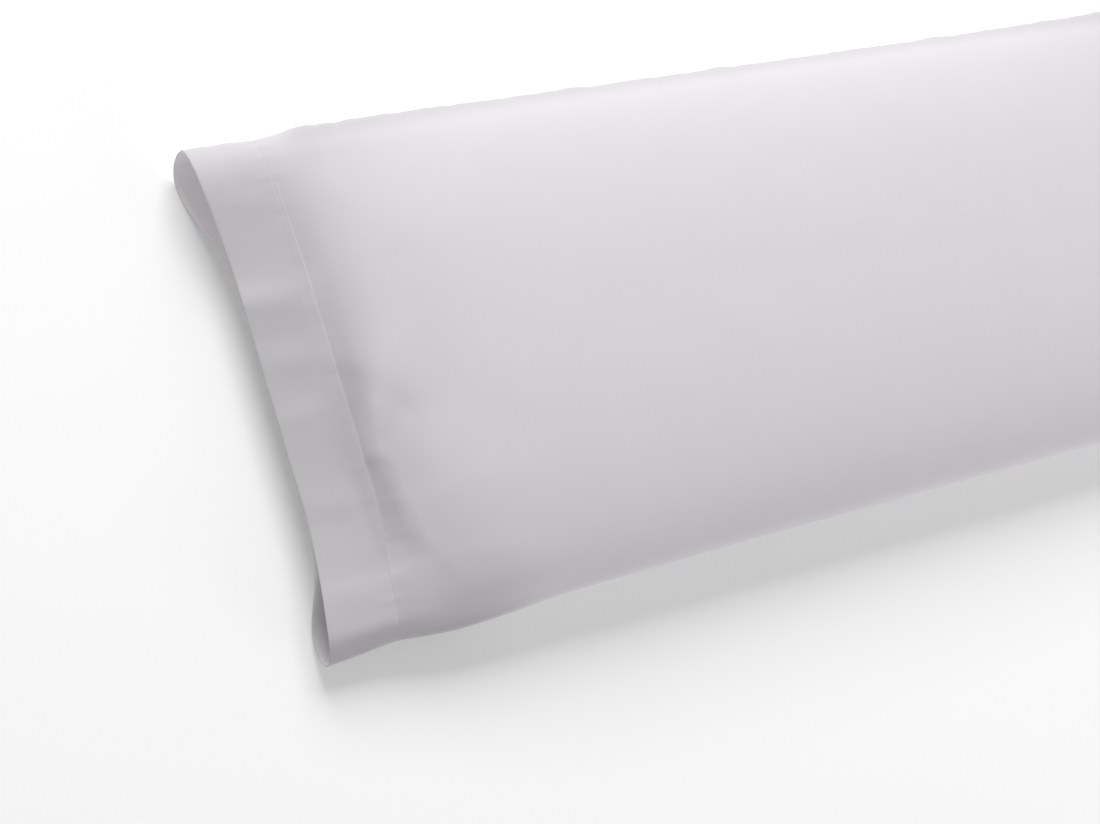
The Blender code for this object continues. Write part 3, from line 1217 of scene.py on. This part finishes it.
def open_group(name: str, inputs: dict[str, tuple[str, object]], outputs: tuple[str, ...]) -> tuple:
    """Starts a shader node group.

    Args:
        name: the group's name.
        inputs: socket types and defaults by name.
        outputs: names of the values that it puts out.

    Returns:
        The group, a bench for its nodes, its input node and its output node.
    """
    group = bpy.data.node_groups.new(name, "ShaderNodeTree")
    for label, (kind, default) in inputs.items():
        socket = group.interface.new_socket(label, in_out="INPUT", socket_type=kind)
        if default is not None:
            socket.default_value = default
    for label in outputs:
        group.interface.new_socket(label, in_out="OUTPUT", socket_type="NodeSocketFloat")
    bench = NodeBench(group)
    return group, bench, bench.add("NodeGroupInput"), bench.add("NodeGroupOutput")


def plain_weave_group() -> bpy.types.NodeTree:
    """Builds the plain weave: one thread over, one under, with threads that vary in thickness.

    Returns:
        A group from a place in metres and a thread count to a height and a mask of thick threads.
    """
    group, bench, given, put = open_group(
        "plain_weave",
        {
            "Place": ("NodeSocketVector", None),
            "Threads per metre": ("NodeSocketFloat", 2700.0),
            "Unevenness": ("NodeSocketFloat", 0.3),
        },
        ("Height", "Thick threads"),
    )
    place = bench.add("ShaderNodeSeparateXYZ", {0: given.outputs["Place"]})
    round_profiles, slubs = [], []
    for axis, other, seed in (("X", "Y", 3.1), ("Y", "X", 7.7)):
        # a thread's own unevenness changes fast across the threads and slowly along them
        line = bench.add(
            "ShaderNodeCombineXYZ",
            {
                "X": bench.math("MULTIPLY", place.outputs[axis], SLUBS_ACROSS),
                "Y": bench.math("MULTIPLY", place.outputs[other], SLUBS_ALONG),
                "Z": seed,
            },
        )
        noise = bench.add("ShaderNodeTexNoise", {"Vector": line.outputs[0], "Scale": 1.0, "Detail": 1.0})
        off_middle = bench.math("SUBTRACT", noise.outputs[0], 0.5)
        shift = bench.math("MULTIPLY", off_middle, given.outputs["Unevenness"])
        turns = bench.math("MULTIPLY", place.outputs[axis], given.outputs["Threads per metre"])
        angle = bench.math("MULTIPLY", bench.math("ADD", turns, shift), math.pi)
        round_profiles.append(bench.math("SINE", angle))
        slubs.append(noise.outputs[0])
    warp, weft = round_profiles
    over = bench.math("GREATER_THAN", bench.math("MULTIPLY", warp, weft), 0.0)
    warp_round, weft_round = bench.math("ABSOLUTE", warp), bench.math("ABSOLUTE", weft)
    warp_top, weft_top = (
        bench.math(
            "MULTIPLY",
            bench.math("SQRT", own),
            bench.math("MULTIPLY_ADD", crossing, UNDER_DIP, 1.0 - UNDER_DIP),
        )
        for own, crossing in ((warp_round, weft_round), (weft_round, warp_round))
    )
    tops = dict(zip(MIX_NUMBERS, (weft_top, warp_top)))
    height = bench.add("ShaderNodeMix", {MIX_FACTOR: over, **tops})
    thick = bench.math("MAXIMUM", slubs[0], slubs[1])
    bench.tree.links.new(height.outputs[0], put.inputs["Height"])
    bench.tree.links.new(thick, put.inputs["Thick threads"])
    return group


def soft_mottle_group() -> bpy.types.NodeTree:
    """Builds the faint cloudiness and the fine crumple of laundered cotton.

    Returns:
        A group from a place in metres to a cloud mask and a crumple height.
    """
    group, bench, given, put = open_group(
        "soft_mottle",
        {"Place": ("NodeSocketVector", None), "Size": ("NodeSocketFloat", 0.05)},
        ("Cloud", "Crumple"),
    )
    scale = bench.math("DIVIDE", 1.0, given.outputs["Size"])
    place = given.outputs["Place"]
    cloud = bench.add("ShaderNodeTexNoise", {"Vector": place, "Scale": scale, "Detail": 3.0})
    stretched = bench.add("ShaderNodeMapping", {"Vector": place, "Scale": (1.0, CRUMPLE_STRETCH, 1.0)})
    crumple = bench.add(
        "ShaderNodeTexNoise",
        {
            "Vector": stretched.outputs[0],
            "Scale": bench.math("MULTIPLY", scale, CRUMPLE_FINER),
            "Detail": 4.0,
            "Roughness": 0.45,
        },
    )
    bench.tree.links.new(cloud.outputs[0], put.inputs["Cloud"])
    bench.tree.links.new(crumple.outputs[0], put.inputs["Crumple"])
    return group


@dataclass(frozen=True)
class CottonFinish:
    """White percale: matte, a faint cool cast, a fine plain weave.

    Fields:
        free: the painted shade's darkest tone, on cloth that hangs free, as a share of that of cloth on the
            pillow.
        dark: no light.
        through: the pocket's painted glow, an emission that stands in for the light that passes into the
            mouth's pocket.
        cloud_share: the share of the clouds in the tone, beside the thick threads.
        cloud_size: the size of a cloud.
    """

    light: tuple[float, float, float, float] = (0.790, 0.768, 0.792, 1.0)
    deep: tuple[float, float, float, float] = (0.750, 0.728, 0.754, 1.0)
    free: float = 0.72
    dark: tuple[float, float, float, float] = (0.0, 0.0, 0.0, 1.0)
    through: tuple[float, float, float, float] = (0.100, 0.097, 0.099, 1.0)
    rough_low: float = 0.84
    rough_high: float = 0.94
    sheen: float = 0.12
    sheen_rough: float = 0.6
    specular: float = 0.3
    threads_per_metre: float = 2700.0
    unevenness: float = 0.35
    cloud_share: float = 0.55
    cloud_size: float = 0.06
    bump_strength: float = 0.5
    weave_depth: float = 0.00009
    crumple_depth: float = 0.00035

    def material(self, weave: bpy.types.NodeTree, mottle: bpy.types.NodeTree) -> bpy.types.Material:
        """Builds the material.

        Args:
            weave: the plain weave group.
            mottle: the cloudiness group.

        Returns:
            The finished material.
        """
        material = bpy.data.materials.new("white_percale")
        material.use_nodes = True
        bench = NodeBench(material.node_tree)
        shader = material.node_tree.nodes["Principled BSDF"]
        place = bench.add("ShaderNodeUVMap", uv_map=WEAVE_UV).outputs[0]
        threads = bench.add(
            "ShaderNodeGroup",
            {
                "Place": place,
                "Threads per metre": self.threads_per_metre,
                "Unevenness": self.unevenness,
            },
            node_tree=weave,
        )
        spot = bench.add("ShaderNodeTexCoord").outputs["Object"]
        soft = bench.add("ShaderNodeGroup", {"Place": spot, "Size": self.cloud_size}, node_tree=mottle)
        tone = bench.math(
            "ADD",
            bench.math("MULTIPLY", soft.outputs["Cloud"], self.cloud_share),
            bench.math("MULTIPLY", threads.outputs["Thick threads"], 1.0 - self.cloud_share),
        )
        cloth = bench.colours(tone, self.deep, self.light)
        # Painted shade: the cloth is painted darker where it hangs free, in the hollows behind the stitches
        # and along the sewn edge's band.
        painted_shade = bench.add("ShaderNodeAttribute", attribute_name=PAINTED_SHADE_ATTRIBUTE).outputs["Fac"]
        shade = bench.add("ShaderNodeMapRange", {"Value": painted_shade, "To Min": self.free, "To Max": 1.0})
        colour = bench.colours(1.0, cloth, shade.outputs[0], "MULTIPLY")
        # Painted light: the pocket's inside glows, standing in for light that passes through the cloth.
        lit_through = bench.add("ShaderNodeAttribute", attribute_name=LIT_THROUGH).outputs["Fac"]
        passed = bench.colours(lit_through, self.dark, self.through)
        rough = bench.add(
            "ShaderNodeMapRange",
            {"Value": soft.outputs["Cloud"], "To Min": self.rough_low, "To Max": self.rough_high},
        )
        crumple = bench.add(
            "ShaderNodeBump",
            {
                "Height": soft.outputs["Crumple"],
                "Strength": self.bump_strength,
                "Distance": self.crumple_depth,
            },
        )
        surface = bench.add(
            "ShaderNodeBump",
            {
                "Height": threads.outputs["Height"],
                "Strength": self.bump_strength,
                "Distance": self.weave_depth,
                "Normal": crumple.outputs[0],
            },
        )
        bench.tree.links.new(colour, shader.inputs["Base Color"])
        bench.tree.links.new(passed, shader.inputs["Emission Color"])
        bench.tree.links.new(rough.outputs[0], shader.inputs["Roughness"])
        bench.tree.links.new(surface.outputs[0], shader.inputs["Normal"])
        shader.inputs["Metallic"].default_value = 0.0
        shader.inputs["Emission Strength"].default_value = 1.0
        shader.inputs["Sheen Weight"].default_value = self.sheen
        shader.inputs["Sheen Roughness"].default_value = self.sheen_rough
        shader.inputs["Specular IOR Level"].default_value = self.specular
        return material


@dataclass(frozen=True)
class ThreadFinish:
    """White spun sewing thread."""

    light: tuple[float, float, float, float] = (0.66, 0.64, 0.66, 1.0)
    deep: tuple[float, float, float, float] = (0.55, 0.535, 0.55, 1.0)
    rough: float = 0.7
    ply_pitch: float = 0.0005
    ply_slant: float = 35.0
    ply_waver: float = 0.6
    ply_depth: float = 0.00003
    bump_strength: float = 0.6

    def material(self) -> bpy.types.Material:
        """Builds the material, with the twist of the thread's plies.

        Returns:
            The finished material.
        """
        material = bpy.data.materials.new("white_thread")
        material.use_nodes = True
        bench = NodeBench(material.node_tree)
        shader = material.node_tree.nodes["Principled BSDF"]
        spot = bench.add("ShaderNodeTexCoord").outputs["Object"]
        turn = (0.0, 0.0, math.radians(self.ply_slant))
        slanted = bench.add("ShaderNodeMapping", {"Vector": spot, "Rotation": turn})
        twist = bench.add(
            "ShaderNodeTexWave",
            {
                "Vector": slanted.outputs[0],
                "Scale": math.tau / (WAVE_RATE * self.ply_pitch),
                "Distortion": self.ply_waver,
            },
        ).outputs[1]
        # Painted shade: the twist's grooves are painted darker than its ridges.
        colour = bench.colours(twist, self.deep, self.light)
        bump = bench.add(
            "ShaderNodeBump",
            {"Height": twist, "Strength": self.bump_strength, "Distance": self.ply_depth},
        )
        bench.tree.links.new(colour, shader.inputs["Base Color"])
        bench.tree.links.new(bump.outputs[0], shader.inputs["Normal"])
        shader.inputs["Roughness"].default_value = self.rough
        return material


@dataclass
class Pillowcase:
    """The whole case: its cloth and the hem's stitches, with their finishes."""

    cotton: CottonFinish = CottonFinish()
    thread: ThreadFinish = ThreadFinish()
    fill: float = 0.85

    def build(self) -> None:
        """Builds the pieces, dresses them and ties them to the frame."""
        form = CaseForm()
        cloth_maker = CaseCloth(form, SoftRelief(form))
        cloth = cloth_maker.build()
        cloth.data.materials.append(self.cotton.material(plain_weave_group(), soft_mottle_group()))
        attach(cloth, "root")
        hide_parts("pillowcase")
        stitches = HemStitches(cloth_maker).build()
        stitches.data.materials.append(self.thread.material())
        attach(stitches, "root")
        for piece in (cloth, stitches):
            log.info("%s: %d faces", piece.name, len(piece.data.polygons))


@dataclass(frozen=True)
class Panel:
    """A soft square light that faces the case, with its side in metres and its power in watts."""

    name: str
    place: tuple[float, float, float]
    size: float
    power: float


@dataclass
class Studio:
    """The pale floor, the soft light and the photograph's camera."""

    camera_place: tuple[float, float, float] = (-1.2784, -0.2898, 1.5933)
    camera_turn: tuple[float, float, float] = (17.231, -28.382, -19.731)
    lens: float = 75.27
    sensor: float = 36.0
    floor_size: float = 40.0
    floor_colour: tuple[float, float, float, float] = (0.97, 0.97, 0.97, 1.0)
    floor_glow: float = 0.12
    floor_rough: float = 0.9
    world_colour: tuple[float, float, float, float] = (1.0, 1.0, 1.0, 1.0)
    world_strength: float = 0.40
    panels: tuple[Panel, ...] = (
        Panel("window_side", (0.0, 3.05, 2.74), 2.8, 129.5),
        Panel("low_fill", (1.0, -1.9, 0.5), 1.0, 9.5),
    )
    aim: tuple[float, float, float] = (0.0, 0.0, 0.05)

    def floor(self) -> None:
        """Makes the floor under the case."""
        bpy.ops.object.select_all(action="DESELECT")
        bpy.ops.mesh.primitive_plane_add(size=self.floor_size, location=(0.0, 0.0, 0.0))
        floor = bpy.context.object
        floor.name = "studio_floor"
        material = bpy.data.materials.new("pale_floor")
        material.use_nodes = True
        shader = material.node_tree.nodes["Principled BSDF"]
        shader.inputs["Base Color"].default_value = self.floor_colour
        shader.inputs["Roughness"].default_value = self.floor_rough
        shader.inputs["Emission Color"].default_value = (1.0, 1.0, 1.0, 1.0)
        shader.inputs["Emission Strength"].default_value = self.floor_glow
        floor.data.materials.append(material)

    def light_panel(self, panel: Panel) -> None:
        """Makes the light of one panel.

        Args:
            panel: which one.
        """
        data = bpy.data.lights.new(panel.name, "AREA")
        data.shape = "SQUARE"
        data.size = panel.size
        data.energy = panel.power
        lamp = bpy.data.objects.new(panel.name, data)
        lamp.location = panel.place
        lamp.rotation_euler = (Vector(self.aim) - Vector(panel.place)).to_track_quat("-Z", "Y").to_euler()
        bpy.context.scene.collection.objects.link(lamp)

    def light(self) -> None:
        """Makes the even white surroundings and the panels."""
        world = bpy.data.worlds.new("soft_white")
        world.use_nodes = True
        background = world.node_tree.nodes["Background"]
        background.inputs["Color"].default_value = self.world_colour
        background.inputs["Strength"].default_value = self.world_strength
        bpy.context.scene.world = world
        for panel in self.panels:
            self.light_panel(panel)

    def camera(self) -> None:
        """Sets the camera at the photograph's viewing angle."""
        data = bpy.data.cameras.new("camera")
        data.lens = self.lens
        data.sensor_width = self.sensor
        camera = bpy.data.objects.new("camera", data)
        camera.location = self.camera_place
        camera.rotation_euler = Euler([math.radians(angle) for angle in self.camera_turn])
        bpy.context.scene.collection.objects.link(camera)
        bpy.context.scene.camera = camera

    def build(self) -> None:
        """Builds the studio."""
        self.camera()
        self.floor()
        self.light()
        bpy.context.scene.view_settings.view_transform = "Standard"


def main() -> None:
    """Builds the studio and the pillowcase."""
    logging.basicConfig(level=logging.INFO)
    Studio().build()
    Pillowcase().build()


if __name__ == "__main__":
    main()
